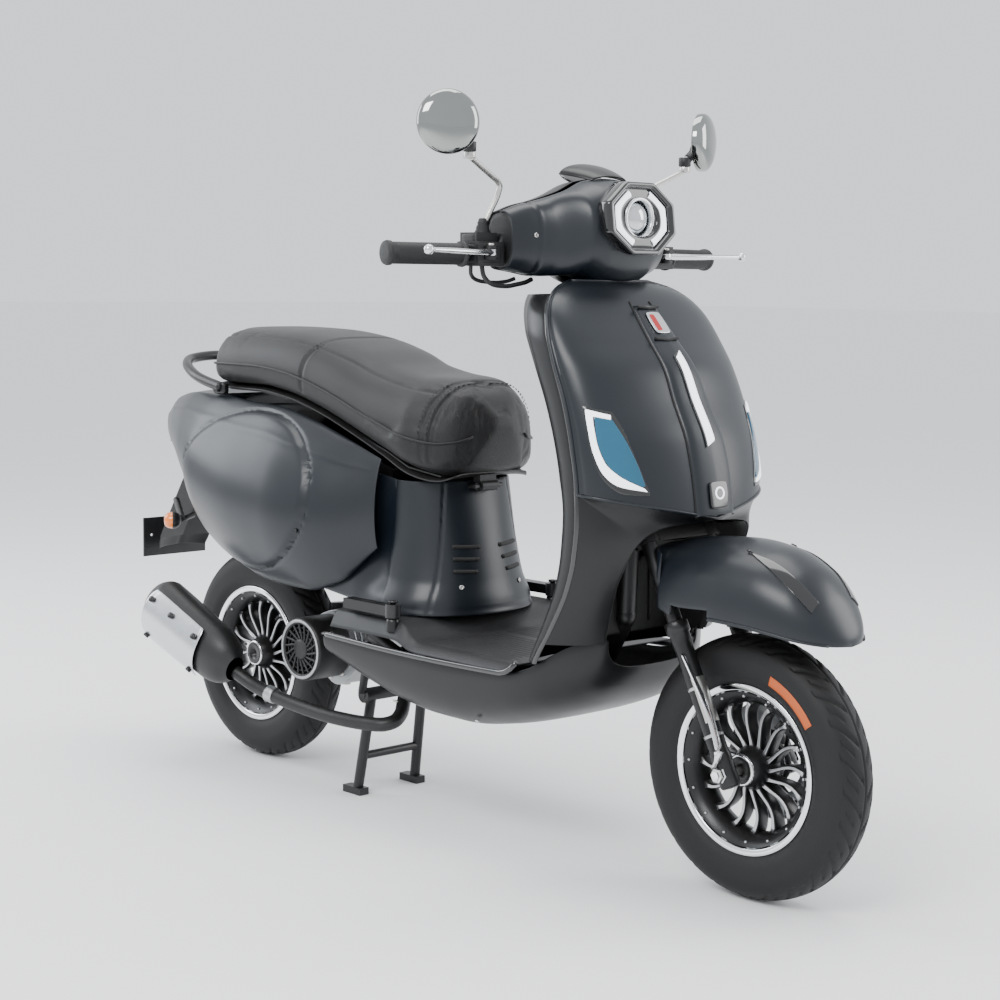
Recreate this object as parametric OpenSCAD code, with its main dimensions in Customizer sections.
// Moped scooter with a swinging engine unit, in millimetres.
// +X points forward, +Y to the rider's left, +Z up; the ground is at z = 0.

/* [Wheels] */
// Distance between the front and rear axles
wheelbase = 1310; // [1150:5:1500]
// Radius of both tyres
tyre_r = 216; // [190:1:222]
// Width of both tyres
tyre_w = 90; // [76:1:96]
// Radius of the bead seat of both rims
bead_r = 127; // [115:1:135]
// Width over the rim flanges
rim_w = 72; // [60:1:84]
// Height of the rim flanges over the bead seat
flange_h = 14; // [10:1:18]
// Number of spokes in each wheel
spoke_count = 16; // [10:1:20]
// Radius of the wheel hubs
hub_r = 36; // [30:1:40]

/* [Front fork] */
// Rake of the steering axis from the vertical, in degrees
rake = 27; // [24:0.5:29]
// Distance of the front axle ahead of the steering axis
fork_offset = 18; // [10:1:26]
// Half of the distance between the fork legs
leg_y = 74; // [72:1:80]
// Radius of the fork sliders
slider_r = 17; // [15:0.5:18]
// Radius of the fork stanchions
stanchion_r = 13; // [11:0.5:14]
// Radius of the front axle
axle_r = 7.5; // [6:0.5:9]
// Radius of the steering stem
stem_r = 14; // [11:0.5:16]
// Outer radius of the brake disc
disc_r = 95; // [85:1:98]
// Thickness of the brake disc
disc_t = 4; // [3:0.5:5]

/* [Handlebar] */
// Half of the width over the grips
bar_y = 392; // [340:2:420]
// Radius of the handlebar tube
bar_r = 11; // [10:0.5:12.5]
// Radius of the grips
grip_r = 17; // [15:0.5:20]
// Radius of the mirrors
mirror_r = 52; // [40:1:60]
// Thickness of the brake levers
lever_t = 11; // [8:1:12]

/* [Body] */
// Half of the width of the leg shield
shield_y = 205; // [190:1:215]
// Half of the width of the floor board
floor_y = 212; // [190:1:225]
// Height of the floor board
floor_z = 352; // [340:1:360]
// Thickness of the moulded panels
panel_t = 3; // [2:0.5:4]
// Radius of the main frame tube
spine_r = 21; // [16:1:23]
// Radius of the frame's rear rails
rail_r = 13; // [10:1:15]
// Half of the distance between the rear rails
rail_y = 118; // [112:1:122]

/* [Seat] */
// Half of the width of the seat cushion
seat_y = 150; // [130:1:160]
// Height of the seat's highest point
seat_z = 890; // [870:1:930]
// Half of the width of the storage bucket
bucket_y = 94; // [80:1:98]

/* [Engine] */
// Distance of the crankshaft ahead of the rear axle
belt_length = 280; // [260:1:300]
// Radius of the cylinder barrel
barrel_r = 42; // [36:1:46]
// Outer radius of the fan cover
fan_cover_r = 62; // [56:1:70]
// Radius of the crankshaft
crank_r = 12; // [10:0.5:16]
// Radius of the drive pulley
drive_pulley_r = 52; // [44:1:56]
// Radius of the driven pulley
driven_pulley_r = 62; // [56:1:66]
// Outer radius of the muffler
muffler_r = 60; // [52:1:66]
// Outer radius of the exhaust pipe
pipe_r = 13; // [11:0.5:15]

/* [Stand] */
// Half of the distance between the stand's feet
stand_y = 72; // [66:1:76]
// Radius of the stand's legs
stand_leg_r = 10; // [8:0.5:12]

/* [Hidden] */
$fn = 64;

run_gap = 0.05;
part_gap = 0.4;
button_r = 6;
rear_x = -590;
front_x = rear_x + wheelbase;
stretch = front_x - 720;
rear_axle = [rear_x, 0, tyre_r];
front_axle_pos = [front_x, 0, tyre_r];
rim_r = bead_r + flange_h;
crank_pos = [rear_x + belt_length, 0, tyre_r + 59];
engine_pivot = [-190, 0, 352];
shock_top = [-548, 74, 615];
shock_foot = [-612, 74, 332];
stand_pivot = [-175, 0, 200];
peg_pivot = [46, floor_y - 12, floor_z + 52];
plate_x = -936;
plate_hole_z = 430;
seat_hinge = [76, 0, 618];
mirror_pivot = [304, 262, 1206];
mirror_centre = mirror_pivot + [2, 48, 37];
lever_pivot = [306, 214, 1036];
bar_inner = [274, 244, 1033];
bar_outer = [246, bar_y - 1, 1033];
lamp_z = 1096;
mirror_pin_r = 6;
mirror_boss = 16;
disc_y = 45;

// ---- Small helpers ----

function unit(v) = v / norm(v);
function ahead(p) = p + [stretch, 0, 0];
function bow(a, power) = pow(max(0, cos(a)), power);

// A straight round rod from point p to point q.
module rod(p, q, r) {
    d = q - p;
    translate(p)
        rotate([0, acos(d[2] / norm(d)), atan2(d[1], d[0])])
            cylinder(r = r, h = norm(d));
}

// Rods along a route, with a slightly fatter ball at each bend.
module bent_rod(route, r) {
    for (i = [0 : len(route) - 2])
        rod(route[i], route[i + 1], r);
    for (i = [1 : len(route) - 2])
        translate(route[i])
            sphere(r = r * 1.06);
}

// A copy of the children on each side of the centre plane.
module both_sides() {
    children();
    mirror([0, 1, 0])
        children();
}

// Moves its children with the front end when the wheelbase changes.
module front_end() {
    translate([stretch, 0, 0])
        children();
}

// Places its children in the frame of the steering axis: z runs up the axis,
// x forward, and the front axle is at [fork_offset, 0, 0].
module steered() {
    translate(front_axle_pos - fork_offset * [cos(rake), 0, sin(rake)])
        rotate([0, -rake, 0])
            children();
}

// Places its children with z along the y axis at a wheel's axle.
module on_axle(axle) {
    translate(axle)
        rotate([90, 0, 0])
            children();
}

// ---- Curved sheets and lofts ----

function volume(points, faces) = [for (f = faces)
    points[f[0]] * cross(points[f[1]], points[f[2]])] * [for (f = faces) 1];

function backwards(faces) = [for (f = faces) [f[2], f[1], f[0]]];

// The unit normal of a grid of points at row i and column j.
function grid_normal(g, i, j) =
    let (m = len(g) - 1, n = len(g[0]) - 1)
    let (du = g[min(i + 1, m)][j] - g[max(i - 1, 0)][j])
    let (dv = g[i][min(j + 1, n)] - g[i][max(j - 1, 0)])
    unit(cross(du, dv));

function grid_offset(g, t) = [for (i = [0 : len(g) - 1])
    [for (j = [0 : len(g[0]) - 1]) g[i][j] + t * grid_normal(g, i, j)]];

function quad(a, b, c, d) = [[a, b, c], [a, c, d]];

// A closed solid drawn so that its faces point outwards.
module closed(points, faces) {
    polyhedron(points, volume(points, faces) < 0 ? faces : backwards(faces));
}

// A panel of even thickness t on one side of a grid of points.
module sheet(g, t = panel_t) {
    m = len(g);
    n = len(g[0]);
    k = m * n;
    points = concat([for (row = g) each row], [for (row = grid_offset(g, t)) each row]);
    skin = [for (i = [0 : m - 2]) for (j = [0 : n - 2])
        each quad(i * n + j, i * n + j + 1, (i + 1) * n + j + 1, (i + 1) * n + j)];
    back = [for (f = skin) [f[2] + k, f[1] + k, f[0] + k]];
    rows = [for (i = [0 : m - 2]) each concat(
        quad(i * n, (i + 1) * n, (i + 1) * n + k, i * n + k),
        quad((i + 1) * n - 1 + k, (i + 2) * n - 1 + k, (i + 2) * n - 1, (i + 1) * n - 1))];
    ends = [for (j = [0 : n - 2]) each concat(
        quad(j + k, j + 1 + k, j + 1, j),
        quad((m - 1) * n + j, (m - 1) * n + j + 1, (m - 1) * n + j + 1 + k, (m - 1) * n + j + k))];
    closed(points, concat(skin, back, rows, ends));
}

// A closed solid through a list of closed rings, with a flat cap at each end.
module loft(rings) {
    m = len(rings);
    n = len(rings[0]);
    tail = m * n;
    points = concat([for (ring = rings) each ring],
        [ring_centre(rings[0]), ring_centre(rings[m - 1])]);
    skin = [for (i = [0 : m - 2]) for (j = [0 : n - 1])
        each quad(i * n + j, i * n + (j + 1) % n, (i + 1) * n + (j + 1) % n, (i + 1) * n + j)];
    caps = [for (j = [0 : n - 1]) each [
        [tail, (j + 1) % n, j],
        [tail + 1, (m - 1) * n + j, (m - 1) * n + (j + 1) % n]]];
    closed(points, concat(skin, caps));
}

function ring_centre(ring) = [for (k = [0 : 2]) [for (p = ring) p[k]] * [for (p = ring) 1] / len(ring)];

// A tube swept along a route of points, with its rings square to the route.
function tangent(route, i) = unit(route[min(i + 1, len(route) - 1)] - route[max(i - 1, 0)]);
function across(t) = unit(cross(t, abs(t[2]) < 0.9 ? [0, 0, 1] : [0, 1, 0]));

module swept(route, r, sides = 8) {
    loft([for (i = [0 : len(route) - 1])
        let (t = tangent(route, i), u = across(t), v = cross(t, u))
        [for (k = [0 : sides - 1])
            route[i] + r * (cos(k * 360 / sides) * u + sin(k * 360 / sides) * v)]]);
}

// ---- Outlines of the body ----
// Each table gives a value against height or against distance along the scooter.

// Leg shield: x of the centre ridge and of the side edges, and the half width, by height.
ridge_x = [[605, 622], [660, 614], [731, 596], [800, 560], [872, 512], [940, 470], [992, 432]];
edge_x = [[605, 506], [675, 504], [723, 494], [786, 477], [849, 453], [896, 436], [944, 428], [992, 424]];
shield_w = [[605, -4], [720, 0], [900, 0], [945, -4], [975, -26], [992, -62]];

function shield_point(z, v) =
    let (e = lookup(z, edge_x), c = lookup(z, ridge_x), w = shield_y + lookup(z, shield_w))
    ahead([e + (c - e) * bow(v * 90, 0.85), w * sin(v * 90), z]);

// Knee panel: x of the centre line and of the side edges, by height.
knee_x = [[352, 352], [400, 366], [500, 392], [600, 398], [700, 376], [850, 312], [985, 250]];
knee_edge_x = [[352, 392], [370, 400], [425, 434], [495, 470], [546, 484], [611, 490], [675, 488],
    [723, 478], [786, 461], [849, 437], [896, 420], [944, 412], [985, 410]];

// Rear body: height of the top and bottom edges and half widths, along the scooter.
rear_top = [[-860, 700], [-760, 742], [-650, 757], [-550, 757], [-450, 750], [-350, 744],
    [-250, 724], [-150, 694], [-60, 664]];
rear_low = [[-860, 640], [-760, 590], [-650, 525], [-550, 462], [-450, 425], [-350, 405],
    [-250, 402], [-150, 430], [-60, 500]];
rear_top_y = [[-860, 62], [-760, 98], [-650, 128], [-550, 142], [-350, 145], [-60, 140]];
rear_low_y = [[-860, 56], [-760, 88], [-650, 120], [-550, 150], [-350, 162], [-150, 160], [-60, 148]];
rear_bulge = [[-860, 6], [-760, 30], [-650, 56], [-550, 72], [-400, 82], [-300, 82], [-200, 68],
    [-110, 34], [-60, 12]];

function side_point(x, q) =
    let (top = lookup(x, rear_top), low = lookup(x, rear_low))
    let (y = lookup(x, rear_top_y) * (1 - q) + lookup(x, rear_low_y) * q)
    [x, y + lookup(x, rear_bulge) * bow(q * 180 - 90, 0.7), top * (1 - q) + low * q];

// Seat: heights of the crown and of the underside, and half width, along the scooter.
seat_top = [[-660, -60], [-635, -18], [-580, -2], [-500, 0], [-400, -2], [-300, -12],
    [-200, -34], [-110, -62], [-40, -74], [30, -80], [80, -94], [108, -124], [118, -158]];
seat_low = [[-660, 790], [-635, 768], [-580, 764], [-450, 764], [-350, 754], [-250, 730],
    [-150, 700], [-60, 672], [0, 648], [60, 634], [90, 645], [108, 676], [118, 706]];
seat_w = [[-660, -96], [-635, -52], [-580, -16], [-500, -4], [-300, 0], [0, 0], [40, -14],
    [80, -46], [108, -96], [118, -126]];

// Fender: stations of x, top height, lower edge height and half width.
fender_rows = [[546, 566, 556, 92], [590, 576, 470, 104], [645, 583, 460, 108],
    [705, 586, 462, 108], [765, 579, 459, 103], [825, 554, 452, 90], [866, 514, 448, 68],
    [892, 468, 446, 40]];

// Headset: stations of half width, front x, rear x, top z and bottom z.
headset_rows = [[-176, 318, 250, 1106, 1008], [-150, 330, 250, 1116, 1004],
    [-115, 362, 252, 1126, 998], [-84, 420, 256, 1142, 1000], [-48, 428, 256, 1158, 985],
    [0, 430, 255, 1164, 980], [48, 428, 256, 1158, 985], [84, 420, 256, 1142, 1000],
    [115, 362, 252, 1126, 998], [150, 330, 250, 1116, 1004], [176, 318, 250, 1106, 1008]];

// ---- Chassis ----

module main_frame() {
    spine = [ahead([458, 0, 690]), ahead([428, 0, 600]), ahead([421, 0, 424]),
        ahead([352, 0, 306]), [-30, 0, 302]];
    rail = [[-30, rail_y, 302], [-112, rail_y, 330], [-190, rail_y, 470], [-300, rail_y, 566],
        [-708, rail_y, 640]];
    color("dimgray") {
        difference() {
            union() {
                steered()
                    translate([0, 0, 455])
                        cylinder(r = stem_r + 14, h = 190);
                bent_rod(spine, spine_r);
            }
            steered()
                translate([0, 0, 450]) {
                    cylinder(r = stem_r + 3, h = 200);
                    cylinder(r = stem_r + 3, h = 30);
                }
        }
        steered()
            for (s = [458, 628])
                translate([0, 0, s])
                    difference() {
                        cylinder(r = stem_r + 5, h = 14);
                        translate([0, 0, -1])
                            cylinder(r = stem_r + run_gap, h = 16);
                    }
        rod([-30, -rail_y, 302], [-30, rail_y, 302], rail_r + 3);
        rod([-706, -rail_y, 639.6], [-706, rail_y, 639.6], rail_r - 3);
        both_sides()
            bent_rod(rail, rail_r);
        both_sides()
            stand_bracket();
        both_sides()
            hanger_lug();
        rod(shock_top + [0, 24, 0], [shock_top[0], rail_y, shock_top[2]], 8);
        shock_pin();
        both_sides()
            bent_rod([[-150, rail_y, 398], [-40, 100, 560], [50, 27, 616], seat_hinge + [0, 27, 0]], 6);
        rod(seat_hinge - [0, 34, 0], seat_hinge + [0, 34, 0], 4);
    }
}

// Arm that carries the stand's pivot pin below the engine.
module stand_bracket() {
    foot = stand_pivot + [0, stand_y + 16, 0];
    rod([-112, rail_y, 330], foot + [0, 0, 8], 8);
    translate(foot + [0, -6, 0])
        rotate([90, 0, 0])
            difference() {
                cylinder(r = 15, h = 8, center = true);
                cylinder(r = 6 + run_gap, h = 10, center = true);
            }
}

// Plate that holds the end of the engine's pivot bolt.
module hanger_lug() {
    translate(engine_pivot + [0, rail_y - 22, 0])
        rotate([90, 0, 0])
            difference() {
                cylinder(r = 17, h = 8, center = true);
                cylinder(r = 8 + run_gap, h = 10, center = true);
            }
    rod([-148, rail_y - 4, 396], engine_pivot + [14, rail_y - 20, 8], 6);
}

module shock_pin() {
    translate(shock_top)
        rotate([90, 0, 0])
            cylinder(r = 6, h = 48, center = true);
}

module leg_shield() {
    color("#23282d")
        sheet([for (z = [612, 645, 690, 731, 790, 845, 900, 945, 975, 992])
            [for (v = [-1 : 0.125 : 1]) shield_point(z, v)]]);
}

// Front fairing below the leg shield, with the wheel well's liner between its sides.
module shield_lower() {
    color("#15181b")
        sheet([for (z = [402, 450, 500, 550, 604]) [for (side = [-1, 1]) each lower_run(z, side)]]);
}

function lower_run(z, side) =
    let (e = lookup(z, knee_edge_x) + 22, u = (z - 402) / 202)
    let (front = 498 + 96 * u, y = 122 + 24 * u)
    let (run = [[e, shield_y - 4], [(e + front) / 2 + 12 * u, (shield_y + y) / 2 + 10],
        [front, y], [front - 14, y - 14], [462, y - 20], [458, y - 60]])
    [for (k = [0 : 5]) let (p = run[side < 0 ? k : 5 - k]) ahead([p[0], side * p[1], z])];

module knee_panel() {
    color("#14171a")
        sheet([for (z = [368, 400, 440, 500, 560, 611, 675, 740, 800, 860, 920, 950, 966])
            [for (v = [-1 : 0.2 : 1])
                let (e = lookup(z, knee_edge_x), c = lookup(z, knee_x))
                let (w = shield_y - 10 + lookup(z, shield_w))
                ahead([e - (e - c) * bow(v * 90, 0.8), w * sin(v * 90), z])]], -panel_t);
}

module center_tie() {
    color("#1b1f24")
        sheet([for (z = [616, 660, 700, 731, 790, 845, 900, 945, 978])
            [for (v = [-1 : 0.25 : 1])
                let (p = shield_point(z, 0), q = shield_point(z, v * 0.16))
                [q[0] + 4 + 8 * bow(v * 90, 0.7), 46 * v, z]]]);
}

// Light bar on the centre panel and a signal lamp at each side of the leg shield.
module front_lamps() {
    color("white")
        sheet([for (z = [736, 790, 868])
            [for (y = [-7, 0, 7]) shield_point(z, 0) + [16.5, y, 0]]], 3);
    color("deepskyblue")
        both_sides()
            sheet([for (k = [0 : 4])
                let (z = 790 - 25 * k)
                [for (v = [0.60 : 0.08 : 0.84]) shield_point(z - 14 * (v - 0.6), v - 0.04 * k)
                    + [5, 1, 0]]], 4);
}

// Floor with a raised rear part and, on each side, the post and the pin of a footpeg.
module floor_board() {
    color("#30363c")
        union() {
            sheet([for (x = [-118, -60, 20, 90, 110, 200, 290, 344])
                [for (v = [-1 : 0.25 : 1])
                    [x + stretch * max(0, min(1, (x - 110) / 234)), floor_y * v,
                        floor_z + (x < 100 ? 34 : 0) * (abs(v) < 0.9 ? 1 : 0.4)
                        - (abs(v) > 0.9 ? 10 : 0)]]]);
            both_sides()
                translate([peg_pivot[0], peg_pivot[1], floor_z + 12]) {
                    cylinder(r = 11, h = 28 - part_gap);
                    cylinder(r = 5, h = 56);
                }
        }
}

// Belly pan under the floor, closed at its front end behind the wheel.
skirt_low = [[-146, 282], [-60, 244], [40, 214], [150, 205], [250, 215], [350, 242], [430, 272], [476, 316]];
skirt_top = [[-146, 332], [330, 326], [360, 336], [400, 352], [440, 380], [476, 392]];

module lower_skirt() {
    color("#15181b")
        difference() {
            sheet([for (x = [-146, -60, 40, 150, 250, 350, 420, 456, 476])
                let (low = lookup(x, skirt_low), top = lookup(x, skirt_top))
                let (w = floor_y - 6 - 62 * pow(max(0, x - 350) / 126, 2))
                [for (a = [-90 : 15 : 90])
                    [x + stretch * max(0, min(1, (x - 60) / 280)),
                        w * sign(a) * (1 - pow(1 - abs(sin(a)), 1.6)),
                        low + (top - low) * (1 - bow(a, 0.55))]]], -panel_t);
            translate([-150, -132, 200])
                cube([56, 264, 120]);
        }
}

module seat_cowl() {
    front_edge = [[402, 108], [450, 96], [530, 78], [606, 62]];
    half_w = [[402, 158], [450, 140], [530, 128], [606, 124]];
    color("#24292e")
        sheet([for (z = [402, 450, 500, 555, 606])
            [for (a = [-90 : 15 : 90])
                [-40 + (lookup(z, front_edge) + 40) * bow(a, 0.75), lookup(z, half_w) * sin(a), z]]],
            -panel_t);
}

module side_panel_left() {
    color("#1d2226")
        sheet([for (x = [-858, -810, -760, -700, -650, -590, -520, -450, -380, -310, -240, -170, -110, -62])
            [for (k = [0 : 9]) side_point(x, k / 9)]], panel_t);
}

module side_panel_right() {
    mirror([0, 1, 0])
        side_panel_left();
}

module tail_light() {
    color("darkred")
        loft([for (s = [0 : 3])
            [for (a = [0 : 30 : 330])
                [-862 - 7 * s + s * s * 0.6, (58 - 5 * s) * cos(a), 668 + (30 - 3 * s) * sin(a)]]]);
}

module rear_mudguard() {
    color("#15181b")
        difference() {
            union() {
                sheet([for (p = [[-790, 594], [-820, 560], [-850, 515], [-880, 470], [-905, 430]])
                    [for (v = [-1 : 0.5 : 1]) [p[0] + 14 * abs(v), 66 * v, p[1]]]]);
                translate([plate_x, -80, 384])
                    cube([4, 160, 84]);
                rod([-905, 0, 470], [plate_x + 6, 0, 453], 7);
            }
            for (y = [-60, 60])
                translate([plate_x - 6, y, plate_hole_z])
                    rotate([0, 90, 0])
                        cylinder(r = 3.25, h = 20);
        }
    color("#15181b")
        both_sides()
            rod([-840, 58, 515], [-737, 115, 489], 7);
}

module rear_signals() {
    color("orange")
        both_sides()
            translate([-736, 127, 486])
                rotate([0, 0, -60])
                    rotate([0, -90, 0]) {
                        cylinder(r = 19, h = 22);
                        translate([0, 0, 22])
                            cylinder(r = 15, h = 5);
                    }
}

module grab_rail() {
    left = [[-545, 150, 772], [-620, 146, 786], [-700, 122, 806], [-756, 74, 820], [-774, 0, 825]];
    color("#15181b") {
        both_sides() {
            bent_rod(left, 10);
            translate([-545, 150, 772])
                sphere(r = 12);
        }
        translate([-774, 0, 825])
            sphere(r = 10.6);
    }
}

bucket_profile = [[-80, 640], [-110, 470], [-400, 500], [-486, 560], [-500, 722], [-300, 700], [-160, 664]];

module storage_bucket() {
    wall = 3;
    color("#202326")
        difference() {
            rotate([90, 0, 0])
                linear_extrude(2 * bucket_y, center = true)
                    polygon(bucket_profile);
            rotate([90, 0, 0])
                linear_extrude(2 * (bucket_y - wall), center = true)
                    polygon([[-80 - wall, 660], [-110 - wall, 470 + wall], [-400, 500 + wall],
                        [-486 + wall, 560 + wall], [-500 + wall, 740], [-300, 740]]);
        }
}

module fuel_tank() {
    color("#2b2d30")
        difference() {
            union() {
                translate([-688, -bucket_y, 540])
                    cube([160, 138, 120]);
                translate([-630, -30, 655])
                    cylinder(r = 26, h = 30);
            }
            translate([-685, 3 - bucket_y, 543])
                cube([154, 132, 114]);
            translate([-630, -30, 650])
                cylinder(r = 20, h = 32);
        }
}

// ---- Steering ----

module steering_stem() {
    color("#3a3d40")
        steered() {
            cylinder_between(392, 900, stem_r);
            for (side = [-1, 1])
                translate([fork_offset, side * leg_y, 130])
                    cylinder(r = stanchion_r, h = 266);
            difference() {
                union() {
                    for (side = [-1, 1])
                        translate([fork_offset, side * leg_y, 392])
                            cylinder(r = stanchion_r + 8, h = 26);
                    translate([-14, -leg_y, 392])
                        cube([fork_offset + 28, 2 * leg_y, 26]);
                }
                for (side = [-1, 1])
                    translate([fork_offset, side * leg_y, 391])
                        cylinder(r = 5, h = 30);
            }
        }
}

module cylinder_between(low, high, r) {
    translate([0, 0, low])
        cylinder(r = r, h = high - low);
}

module front_fender() {
    color("#262c33")
        difference() {
            sheet([for (row = fender_rows)
                [for (a = [-90 : 15 : 90])
                    ahead([row[0] + (row[0] < 560 ? 44 : 0) * (1 - bow(a, 1)), row[3] * sin(a),
                        row[2] - (row[0] < 560 ? 106 : 0) * (1 - bow(a, 1))
                        + (row[1] - row[2]) * bow(a, 0.72)])]], -panel_t);
            steered()
                translate([-40, -leg_y - 24, 380])
                    cube([90, 2 * leg_y + 48, 60]);
            steered()
                both_sides()
                    translate([fork_offset, leg_y, 250])
                        cylinder(r = slider_r + 6, h = 140);
        }
}

module handlebar() {
    color("#3a3d40")
        difference() {
            union() {
                front_end() {
                    both_sides() {
                        rod(bar_inner, bar_outer, bar_r);
                        bent_rod([[284, 0, 1030], [288, 90, 1034], bar_inner], bar_r);
                        translate(bar_inner)
                            sphere(r = bar_r * 1.03);
                    }
                    translate([284, 0, 1030])
                        sphere(r = bar_r * 1.06);
                }
                steered()
                    cylinder_between(870, 912, stem_r + 9);
            }
            steered()
                cylinder_between(860, 900.2, stem_r + 0.1);
        }
}

function headset_ring(row, from, to) = [for (k = [0 : 6])
    let (a = from + (to - from) * k / 6, cx = (row[1] + row[2]) / 2, cz = (row[3] + row[4]) / 2)
    [cx + (row[1] - row[2]) / 2 * sign(cos(a)) * pow(abs(cos(a)), 0.7), row[0],
        cz + (row[3] - row[4]) / 2 * sign(sin(a)) * pow(abs(sin(a)), 0.8)]];

module headset_front() {
    color("#1c2126")
        difference() {
            front_end()
                sheet([for (row = headset_rows) headset_ring(row, -84, 84)], -panel_t);
            front_end()
                translate([346, 0, lamp_z])
                    rotate([0, 90, 0])
                        cylinder(r = 70, h = 110);
            steered()
                cylinder_between(780, 930, stem_r + 12);
        }
}

module headset_rear() {
    color("#1c2126")
        difference() {
            front_end()
                sheet([for (row = headset_rows) headset_ring(row, 96, 264)], -panel_t);
            front_end()
                translate([240, -78, lamp_z])
                    rotate([0, 90, 0])
                        cylinder(r = 13, h = 30);
            steered()
                cylinder_between(780, 930, stem_r + 12);
        }
    color("#15181b")
        front_end()
            sheet([for (s = [0 : 4])
                [for (a = [-60 : 20 : 60])
                    [306 + 14 * s + 8 * cos(a), 52 * sin(a) * (1 - 0.04 * s),
                        1168 + 24 * cos(a) - 3 * s]]], 2);
}

// Octagonal lamp with its lens, set in the front of the headset.
module headlight() {
    color("#101214")
        front_end()
            difference() {
                translate([350, 0, lamp_z])
                    rotate([0, 90, 0])
                        cylinder(r = 66, h = 84);
                translate([420, 0, lamp_z])
                    rotate([0, 90, 0])
                        cylinder(r = 54, h = 20);
                translate([352, 0, lamp_z])
                    rotate([0, 90, 0])
                        cylinder(r = 50, h = 62);
            }
    color("lightcyan")
        translate([434.5 + stretch, 0, lamp_z])
            rotate([0, 90, 0])
                intersection() {
                    cylinder(r = 88, h = 12);
                    rotate([0, 0, 22.5])
                        cylinder(r = 78, h = 12, $fn = 8);
                }
}

module grip() {
    inner = bar_inner + 0.03 * (bar_outer - bar_inner);
    end = bar_outer + 0.012 * (bar_outer - bar_inner);
    difference() {
        union() {
            rod(inner, end, grip_r);
            rod(inner, inner + 0.05 * (end - inner), grip_r + 4);
        }
        rod(inner - 0.1 * (end - inner), bar_outer + 0.0005 * (bar_outer - bar_inner), bar_r + run_gap);
    }
}

module left_grip() {
    color("#17191b")
        front_end()
            grip();
}

module throttle_grip() {
    mirror([0, 1, 0])
        left_grip();
}

// Switch housings around the bar, with the clevis and the pin of each brake lever.
module control_pods() {
    color("#17191b")
        front_end()
            difference() {
                both_sides()
                    pod();
                translate([249.5, -206, 1030])
                    rotate([0, 90, 0])
                        cylinder(r = button_r + part_gap, h = 6);
            }
    color("silver")
        front_end()
            both_sides()
                translate(lever_pivot - [0, 0, lever_t / 2 + 6])
                    cylinder(r = 4, h = lever_t + 12);
}

module pod() {
    difference() {
        union() {
            translate([250, 180, 1014])
                cube([52, 58, 40]);
            translate([250, 186, 1053])
                cube([40, 46, 16]);
            translate(lever_pivot - [0, 0, lever_t / 2 + 6])
                cylinder(r = 11, h = lever_t + 12);
            translate([290, 200, lever_pivot[2] - lever_t / 2 - 6])
                cube([16, 24, lever_t + 12]);
        }
        rod([288, 90, 1034], bar_inner, bar_r + 0.1);
        rod(bar_inner, bar_outer, bar_r + 0.1);
        translate(bar_inner)
            sphere(r = bar_r * 1.03 + 0.1);
        lever_slot();
    }
}

module lever_slot() {
    translate([lever_pivot[0] - 15, lever_pivot[1] - 20, lever_pivot[2] - lever_t / 2 - part_gap])
        cube([40, 70, lever_t + 2 * part_gap]);
}

module brake_lever_left() {
    color("silver")
        front_end()
            difference() {
                union() {
                    translate(lever_pivot - [0, 0, lever_t / 2])
                        cylinder(r = 10, h = lever_t);
                    hull() {
                        translate(lever_pivot - [0, 0, lever_t / 2])
                            cylinder(r = 7, h = lever_t, $fn = 24);
                        translate(lever_pivot + [20, 46, -lever_t / 2])
                            cylinder(r = 8, h = lever_t, $fn = 24);
                    }
                    rod(lever_pivot + [20, 46, 0], lever_pivot + [34, 158, 2], lever_t / 2);
                    translate(lever_pivot + [35, 168, 2])
                        sphere(r = 9);
                }
                translate(lever_pivot - [0, 0, lever_t])
                    cylinder(r = 4 + run_gap, h = 2 * lever_t);
            }
}

module brake_lever_right() {
    mirror([0, 1, 0])
        brake_lever_left();
}

stem_route = [[270, 200, 1069.4], [270, 200, 1078], [276, 186, 1112], [283, 176, 1138],
    [286, 181, 1152], mirror_pivot + [0, -4, -14]];

module mirror_stems() {
    color("gray")
        front_end()
            both_sides() {
                swept(stem_route, 5, 10);
                translate(mirror_pivot - [0, 0, 19]) {
                    cylinder(r = 10, h = 19 - mirror_boss / 2 - part_gap);
                    cylinder(r = mirror_pin_r, h = 28);
                }
            }
}

// The mirror turns on an upright pin at the end of its stem.
module mirror_left() {
    color("silver")
        front_end()
            difference() {
                union() {
                    translate(mirror_centre)
                        rotate([0, 0, 25])
                            rotate([0, 90, 0])
                                mirror_shell();
                    translate(mirror_pivot)
                        cylinder(r = 11, h = mirror_boss, center = true);
                    rod(mirror_pivot + 0.12 * (mirror_centre - mirror_pivot),
                        mirror_pivot + 0.6 * (mirror_centre - mirror_pivot), 8);
                }
                translate(mirror_pivot - [0, 0, 30])
                    cylinder(r = mirror_pin_r + run_gap, h = 60);
            }
}

module mirror_shell() {
    difference() {
        union() {
            translate([0, 0, -8])
                cylinder(r = mirror_r, h = 10);
            translate([0, 0, 2])
                cylinder(r1 = mirror_r, r2 = 30, h = 16);
        }
        translate([0, 0, -9])
            cylinder(r = mirror_r - 4, h = 2);
    }
}

module mirror_right() {
    mirror([0, 1, 0])
        mirror_left();
}

// Brake hose and throttle cable between the right lever and the headset.
module control_cables() {
    color("black")
        front_end() {
            swept([[286, -216, 1013], [288, -214, 1000], [292, -206, 988], [296, -190, 982],
                [299, -172, 981], [302, -152, 984], [304, -132, 988], [304, -118, 993]], 4);
            swept([[266, -222, 1013], [264, -220, 1002], [262, -208, 992], [264, -190, 988],
                [268, -168, 987], [274, -148, 989], [280, -134, 994]], 3.5);
        }
}

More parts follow.
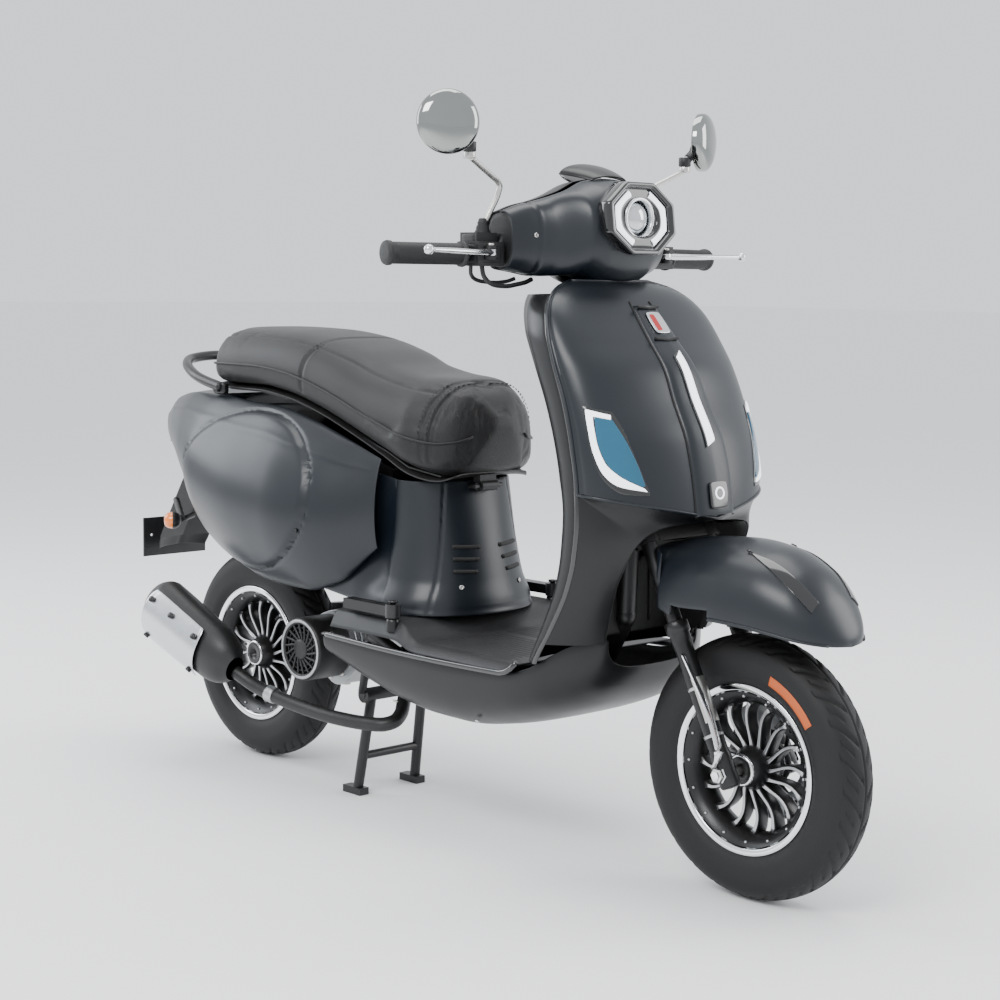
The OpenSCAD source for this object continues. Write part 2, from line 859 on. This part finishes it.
module key_switch() {
    color("silver")
        translate([246 + stretch, -78, lamp_z])
            rotate([0, 90, 0])
                union() {
                    cylinder(r = 12.6, h = 22);
                    translate([-2, -9, -20])
                        cube([4, 18, 22]);
                }
}

module starter_button() {
    color("red")
        translate([243 + stretch, -206, 1030])
            rotate([0, 90, 0])
                cylinder(r = button_r, h = 6.6);
}

module turn_switch() {
    color("#d0d0d0")
        translate([243 + stretch, 198, 1026])
            cube([6.6, 18, 9]);
}

// ---- Fork and front wheel ----

module fork_sliders() {
    color("#1a1c1f")
        steered()
            both_sides()
                difference() {
                    union() {
                        translate([fork_offset, leg_y, -22])
                            cylinder(r = slider_r, h = 277);
                        translate([fork_offset, leg_y, 238])
                            cylinder(r = slider_r + 3, h = 18);
                    }
                    translate([fork_offset, leg_y, 52])
                        cylinder(r = stanchion_r + run_gap, h = 210);
                    translate([fork_offset, leg_y, 0])
                        rotate([90, 0, 0])
                            cylinder(r = axle_r + 0.02, h = 60, center = true);
                }
}

module front_axle() {
    color("silver")
        on_axle(front_axle_pos) {
            cylinder(r = axle_r, h = 2 * (leg_y + slider_r + 4), center = true);
            for (z = [-leg_y - slider_r - 9, leg_y + slider_r + 1])
                translate([0, 0, z])
                    cylinder(r = 12, h = 8, $fn = 6);
        }
}

module brake_disc() {
    color("silver")
        on_axle(front_axle_pos)
            translate([0, 0, -disc_y - disc_t / 2])
                difference() {
                    cylinder(r = disc_r, h = disc_t);
                    translate([0, 0, -1])
                        cylinder(r = 25, h = disc_t + 2);
                    for (k = [0 : 11])
                        rotate([0, 0, 30 * k])
                            translate([disc_r - 15, 0, -1])
                                cylinder(r = 5, h = disc_t + 2);
                }
}

module brake_caliper() {
    half = 14;
    color("#c9a227")
        on_axle(front_axle_pos)
            rotate([0, 0, 172])
                translate([0, 0, -disc_y])
                    difference() {
                        intersection() {
                            difference() {
                                cylinder(r = disc_r + 8, h = 2 * half - 8, center = true);
                                cylinder(r = disc_r - 38, h = 2 * half, center = true);
                            }
                            rotate([0, 0, -62])
                                translate([30, -34, -half])
                                    cube([90, 68, 2 * half]);
                        }
                        cylinder(r = disc_r + 2, h = disc_t + 2, center = true);
                    }
}

function rim_profile() = let (h = rim_w / 2) [[rim_r, h], [rim_r, h - 4], [bead_r, h - 6],
    [bead_r - 1, h - 20], [bead_r - 15, h - 26], [bead_r - 15, 26 - h], [bead_r - 1, 20 - h],
    [bead_r, 6 - h], [rim_r, 4 - h], [rim_r, -h], [rim_r - 5, -h], [bead_r - 8, 5 - h],
    [bead_r - 21, 22 - h], [bead_r - 23, 0], [bead_r - 21, h - 22], [bead_r - 8, h - 5],
    [rim_r - 5, h]];

module wheel_rim(hub_half, bore_r) {
    difference() {
        union() {
            rotate_extrude($fn = 96)
                polygon(rim_profile());
            for (k = [0 : spoke_count - 1])
                rotate([0, 0, k * 360 / spoke_count])
                    translate([hub_r - 6, -3, -11])
                        cube([bead_r - 16 - hub_r, 6, 22]);
            cylinder(r = hub_r, h = 2 * hub_half, center = true);
        }
        cylinder(r = bore_r, h = 2 * hub_half + 2, center = true);
    }
}

module tyre() {
    seat = bead_r + 0.2;
    lip = rim_w / 2 - 4.3;
    bulge = (tyre_r + bead_r) / 2;
    half = tyre_w / 2;
    rotate_extrude($fn = 96)
        polygon(concat(
            [[seat, -lip + 2], [rim_r + 1, -lip], [rim_r + 12, -half + 4]],
            [for (a = [-80 : 16 : 80])
                [bulge + (tyre_r - bulge) * pow(cos(a), 0.75), half * sin(a)]],
            [[rim_r + 12, half - 4], [rim_r + 1, lip], [seat, lip - 2],
                [seat + 8, lip - 8], [tyre_r - 40, half - 12], [tyre_r - 16, half - 26],
                [tyre_r - 16, 26 - half], [tyre_r - 40, 12 - half], [seat + 8, 8 - lip]]));
}

module front_rim() {
    color("#303234")
        on_axle(front_axle_pos)
            wheel_rim(disc_y - disc_t / 2 - 0.2, axle_r + run_gap);
}

module front_tyre() {
    color("#1a1a1a")
        on_axle(front_axle_pos)
            tyre();
}

module rear_rim() {
    color("#303234") {
        on_axle(rear_axle)
            wheel_rim(38, 5);
        translate(rear_axle)
            rotate([-90, 0, 0])
                cylinder(r = 8, h = 112);
    }
}

module rear_tyre() {
    color("#1a1a1a")
        on_axle(rear_axle)
            tyre();
}

// ---- Engine unit ----

// Crankcase with the arm along the wheel's left side and the bearings of the crankshaft.
module crankcase() {
    arm_in = 56;
    color("#b9bcc0")
        difference() {
            union() {
                translate(crank_pos)
                    rotate([90, 0, 0])
                        cylinder(r = 66, h = 2 * arm_in, center = true);
                arm_plate(arm_in, 10);
                hull() {
                    translate(crank_pos + [40, 0, -20])
                        rotate([90, 0, 0])
                            cylinder(r = 34, h = 100, center = true, $fn = 32);
                    translate(crank_pos + [10, 0, -34])
                        rotate([90, 0, 0])
                            cylinder(r = 44, h = 100, center = true, $fn = 32);
                }
                rod(engine_pivot + [0, -84, 0], engine_pivot + [0, 84, 0], 18);
                translate([engine_pivot[0] - 100, -28, engine_pivot[2] - 26])
                    cube([100, 56, 26]);
                translate([shock_foot[0] - 13, 55, 286])
                    cube([26, 7, shock_foot[2] - 286]);
                translate([shock_foot[0], 62, shock_foot[2]])
                    rotate([90, 0, 0])
                        cylinder(r = 13, h = 7);
            }
            translate(crank_pos)
                rotate([90, 0, 0]) {
                    cylinder(r = crank_r + run_gap, h = 300, center = true);
                    cylinder(r = 48, h = 2 * arm_in - 24, center = true);
                }
            translate(engine_pivot)
                rotate([90, 0, 0])
                    cylinder(r = 7, h = 200, center = true);
            on_axle(rear_axle)
                cylinder(r = 8 + run_gap, h = 260, center = true);
            translate(crank_pos + [66, 0, -8])
                rotate([0, 90, 0])
                    cylinder(r = barrel_r - 9, h = 60, center = true);
        }
    color("silver")
        translate(engine_pivot)
            rotate([90, 0, 0])
                cylinder(r = 8, h = 2 * (rail_y - 17), center = true);
    color("silver")
        translate([shock_foot[0], 90, shock_foot[2]])
            rotate([90, 0, 0])
                cylinder(r = 4.5, h = 30);
}

// Flat plate in the outline of the belt case, from y = inner with the given depth.
module arm_plate(inner, depth) {
    translate([0, inner + depth, 0])
        rotate([90, 0, 0])
            linear_extrude(depth)
                belt_outline(0);
}

module belt_outline(inset) {
    front = [crank_pos[0], crank_pos[2]];
    back = [rear_axle[0], rear_axle[2] + 6];
    r1 = 76 - inset;
    r2 = 84 - inset;
    d = back - front;
    n = [-d[1], d[0]] / norm(d);
    union() {
        translate(front)
            circle(r = r1);
        translate(back)
            circle(r = r2);
        polygon([front + n * r1 * 0.995, back + n * r2 * 0.995, back - n * r2 * 0.995,
            front - n * r1 * 0.995]);
    }
}

module cylinder_fins() {
    for (k = [0 : 5])
        translate([0, 0, 6 + 9 * k])
            cylinder(r = barrel_r + 10, h = 3);
}

module cylinder_barrel() {
    start = crank_pos + [84, 0, -8];
    color("#9a9da1")
        translate(start)
            rotate([0, 90, 0])
                difference() {
                    union() {
                        cylinder(r = barrel_r, h = 62);
                        cylinder_fins();
                        translate([-44, -44, 62])
                            cube([88, 88, 52]);
                    }
                    translate([0, 0, -1])
                        cylinder(r = barrel_r - 12, h = 60);
                    translate([30, -20, 84])
                        rotate([0, 90, 0])
                            cylinder(r = 9, h = 20);
                }
}

module cvt_cover() {
    color("#202326")
        difference() {
            translate([0, 122, 0])
                rotate([90, 0, 0])
                    linear_extrude(55.6)
                        belt_outline(1);
            translate([0, 119, 0])
                rotate([90, 0, 0])
                    linear_extrude(60)
                        belt_outline(5);
        }
}

// Ring and slatted grille around the cooling fan on the engine's right side.
module fan_cover() {
    y_in = -(50 + 6.4);
    color("#202326")
        translate([crank_pos[0], y_in, crank_pos[2]])
            rotate([90, 0, 0]) {
                difference() {
                    cylinder(r = fan_cover_r, h = 78);
                    translate([0, 0, -1])
                        cylinder(r = fan_cover_r - 4, h = 76);
                    cylinder(r = fan_cover_r - 14, h = 90);
                }
                for (k = [0 : 15])
                    rotate([0, 0, 22.5 * k])
                        translate([18, -1.5, 73])
                            cube([fan_cover_r - 30, 3, 5]);
                translate([0, 0, 73])
                    cylinder(r = 20, h = 5);
            }
}

module crankshaft() {
    color("silver")
        on_axle(crank_pos) {
            cylinder(r = crank_r, h = 200, center = true);
            for (z = [-30, 14])
                translate([0, 0, z])
                    cylinder(r = 44, h = 16);
            translate([0, 0, -92])
                cylinder(r = drive_pulley_r, h = 6);
            translate([0, 0, -112])
                cylinder(r = drive_pulley_r, h = 6);
            translate([0, 0, -112])
                cylinder(r = 22, h = 26);
        }
}

module cooling_fan() {
    color("#5a5d60")
        on_axle(crank_pos)
            translate([0, 0, 100.5]) {
                cylinder(r = fan_cover_r - 12, h = 3);
                for (k = [0 : 11])
                    rotate([0, 0, 30 * k])
                        translate([24, -1.5, 2.5])
                            cube([fan_cover_r - 38, 3, 18]);
            }
}

module driven_pulley() {
    color("silver")
        on_axle(rear_axle + [0, 0, 6])
            difference() {
                union() {
                    for (z = [-92, -112])
                        translate([0, 0, z])
                            cylinder(r = driven_pulley_r, h = 6);
                    translate([0, 0, -112])
                        cylinder(r = 26, h = 26);
                }
                translate([0, 0, -130])
                    cylinder(r = 16, h = 60);
            }
}

exhaust_route = [[-124, -22, 206], [-112, -38, 190], [-96, -58, 174], [-88, -80, 164], [-100, -100, 158],
    [-140, -114, 156], [-200, -130, 158], [-270, -142, 164], [-340, -152, 174], [-410, -164, 190],
    [-470, -178, 216]];
muffler_front = [-452, -186, 222];
muffler_back = [-706, -194, 322];
muffler_wall = 5;

module exhaust() {
    axis = unit(muffler_back - muffler_front);
    up = unit(cross([0, 1, 0], axis));
    stations = [[0, 26], [20, 44], [60, muffler_r - 2], [150, muffler_r + 2], [230, muffler_r + 4],
        [262, muffler_r - 4], [272, muffler_r - 16]];
    color("#1a1c1e")
        union() {
            swept(exhaust_route, pipe_r, 12);
            difference() {
                muffler_body(stations, axis, up, 0);
                muffler_body([for (s = stations) if (s[0] > 10 && s[0] < 265) s], axis, up, muffler_wall);
            }
        }
}

module muffler_body(stations, axis, up, wall) {
    loft([for (s = stations)
        let (r = s[1] - wall)
        [for (a = [0 : 20 : 340])
            muffler_front + axis * s[0] + up * r * sin(a) + [0, 1, 0] * r * 0.76 * cos(a)]]);
}

module heat_shield() {
    axis = unit(muffler_back - muffler_front);
    up = unit(cross([0, 1, 0], axis));
    color("silver")
        sheet([for (s = [70, 130, 200, 250])
            [for (a = [130 : 14 : 242])
                muffler_front + axis * s + up * (muffler_r + 9) * sin(a)
                + [0, 1, 0] * (muffler_r * 0.76 + 8) * cos(a)]], 1.5);
}

// ---- Rear shock absorber ----

shock_axis = unit(shock_foot - shock_top);
function on_shock(s) = shock_top + s * shock_axis;
shock_length = norm(shock_foot - shock_top);

module shock_eye(centre, bore_r) {
    translate(centre)
        rotate([90, 0, 0])
            difference() {
                cylinder(r = 13, h = 20, center = true);
                cylinder(r = bore_r, h = 22, center = true);
            }
}

module shock_upper() {
    color("#303236") {
        shock_eye(shock_top, 6 + run_gap);
        difference() {
            union() {
                rod(on_shock(12), on_shock(150), 11);
                rod(on_shock(24), on_shock(32), 23);
            }
            rod(on_shock(60), on_shock(151), 6 + run_gap);
        }
    }
}

module shock_lower() {
    color("silver") {
        rod(on_shock(120), on_shock(shock_length - 30), 6);
        rod(on_shock(shock_length - 44), on_shock(shock_length - 36), 23);
        rod(on_shock(shock_length - 36.5), on_shock(shock_length - 12), 9);
        shock_eye(shock_foot, 6.5);
    }
}

// Coil spring around the damper, between the two collars.
module shock_spring() {
    turns = 8;
    steps = 12;
    length = shock_length - 32 - 44 - 9;
    u = across(shock_axis);
    v = cross(shock_axis, u);
    color("#15171a")
        swept([for (k = [0 : turns * steps])
            on_shock(36.5) + shock_axis * length * k / (turns * steps)
            + 17.5 * (cos(k * 360 / steps) * u + sin(k * 360 / steps) * v)], 3.4, 6);
}

// ---- Seat ----

function seat_section(x, lift) =
    let (top = seat_z + lookup(x, seat_top), low = lookup(x, seat_low) + lift)
    let (w = seat_y + lookup(x, seat_w), mid = low + (top - low) * 0.3)
    [for (a = [0 : 22.5 : 337.5])
        [x, w * sign(cos(a)) * pow(abs(cos(a)), 0.6),
            sin(a) > 0 ? mid + (top - mid) * pow(sin(a), 0.8) : mid - (mid - low) * pow(-sin(a), 0.5)]];

module seat_cushion() {
    color("#1d1d1f")
        loft([for (x = [-660, -635, -580, -500, -400, -300, -200, -110, -40, 30, 80, 108, 118])
            seat_section(x, 14)]);
}

// Moulded tray under the cushion, with the ears of the seat's hinge.
module seat_base() {
    color("#26282b")
        difference() {
            union() {
                sheet([for (x = [-620, -560, -450, -350, -250, -150, -60, 0, 60])
                    [for (v = [-1 : 0.25 : 1])
                        [x, (seat_y + lookup(x, seat_w)) * 0.84 * v, lookup(x, seat_low) + 6]]], -panel_t);
                translate([58, -20, 618])
                    cube([18, 40, 24]);
                translate(seat_hinge)
                    rotate([90, 0, 0])
                        cylinder(r = 9, h = 40, center = true);
            }
            translate(seat_hinge)
                rotate([90, 0, 0])
                    cylinder(r = 4 + run_gap, h = 60, center = true);
        }
}

// ---- Stand and footpegs ----

module center_stand() {
    foot = [stand_pivot[0] - 30, stand_y, 0];
    color("#1a1c1e") {
        difference() {
            union() {
                rod(stand_pivot - [0, stand_y + 4, 0], stand_pivot + [0, stand_y + 4, 0], 13);
                both_sides() {
                    rod([stand_pivot[0], stand_y - 8, stand_pivot[2]], foot + [0, 0, 14], stand_leg_r);
                    translate(foot + [-34, -11, 0])
                        cube([52, 22, 14]);
                }
                rod([stand_pivot[0] - 20, -stand_y, 76], [stand_pivot[0] - 20, stand_y, 76], 8);
            }
            translate(stand_pivot)
                rotate([90, 0, 0])
                    cylinder(r = 6.2, h = 300, center = true);
        }
        translate(stand_pivot)
            rotate([90, 0, 0])
                cylinder(r = 6, h = 2 * stand_y + 30, center = true);
    }
}

module footpeg_left() {
    color("#1a1c1e")
        difference() {
            union() {
                translate(peg_pivot - [126, 12, 9])
                    cube([120, 24, 18]);
                translate(peg_pivot - [0, 0, 12])
                    cylinder(r = 14, h = 24);
            }
            translate(peg_pivot - [0, 0, 20])
                cylinder(r = 5 + run_gap, h = 40);
        }
}

module footpeg_right() {
    mirror([0, 1, 0])
        footpeg_left();
}

main_frame();
leg_shield();
shield_lower();
knee_panel();
center_tie();
front_lamps();
floor_board();
lower_skirt();
seat_cowl();
side_panel_right();
side_panel_left();
tail_light();
rear_mudguard();
rear_signals();
grab_rail();
storage_bucket();
fuel_tank();
steering_stem();
front_fender();
handlebar();
headset_front();
headset_rear();
headlight();
left_grip();
control_pods();
mirror_stems();
control_cables();
fork_sliders();
front_axle();
brake_caliper();
front_rim();
front_tyre();
brake_disc();
crankcase();
cylinder_barrel();  // cylinder
cvt_cover();
fan_cover();
exhaust();
heat_shield();
rear_rim();
rear_tyre();
crankshaft();
cooling_fan();
driven_pulley();
shock_upper();
shock_lower();
shock_spring();
seat_base();
seat_cushion();
throttle_grip();
brake_lever_right();
brake_lever_left();
mirror_right();
mirror_left();
center_stand();
key_switch();
footpeg_right();
footpeg_left();
starter_button();
turn_switch();
